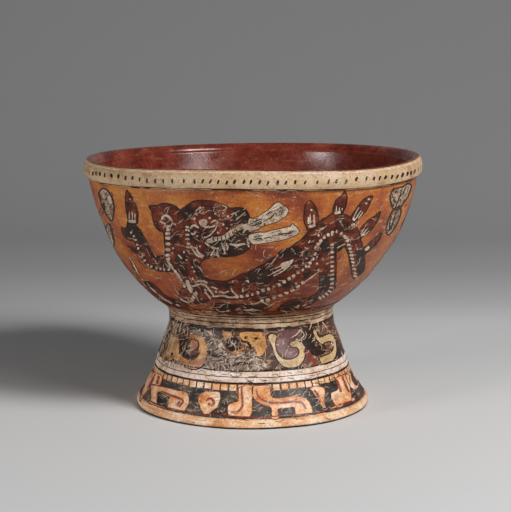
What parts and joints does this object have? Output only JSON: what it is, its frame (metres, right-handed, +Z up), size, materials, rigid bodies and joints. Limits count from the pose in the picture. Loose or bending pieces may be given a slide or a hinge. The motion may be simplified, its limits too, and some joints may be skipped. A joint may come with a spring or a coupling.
{
  "type": "pedestal bowl",
  "caption": "Round clay bowl with a thick coiled rim, on a hollow flaring stand, painted in slips with a serpent frieze and bands of scrolls and frets.",
  "frame": {"origin": "on the upright axis, at the middle of the stand's resting face", "axes": "+Z up, from the foot to the rim; +Y is the side away from the camera in the picture"},
  "size_m": [0.203, 0.203, 0.1507],
  "materials": {
    "fired_clay": "matt fired earthenware",
    "red_slip": "burnished dark red slip",
    "cream_slip": "burnished cream slip",
    "ochre_slip": "burnished orange ochre slip",
    "brown_slip": "burnished dark brown slip",
    "black_slip": "burnished black slip"
  },
  "bodies": {
    "root": {"bowl": "fired_clay", "rim_coil": "fired_clay", "stand": "fired_clay", "foot_roll": "fired_clay", "neck_lute": "fired_clay", "under_lute": "fired_clay", "interior_slip": "red_slip", "rim_slip": "cream_slip", "wall_slip": "ochre_slip", "neck_slip": "cream_slip", "scroll_slip": "brown_slip", "waist_slip": "cream_slip", "fret_slip": "black_slip", "roll_slip": "ochre_slip"}
  },
  "joints": []
}
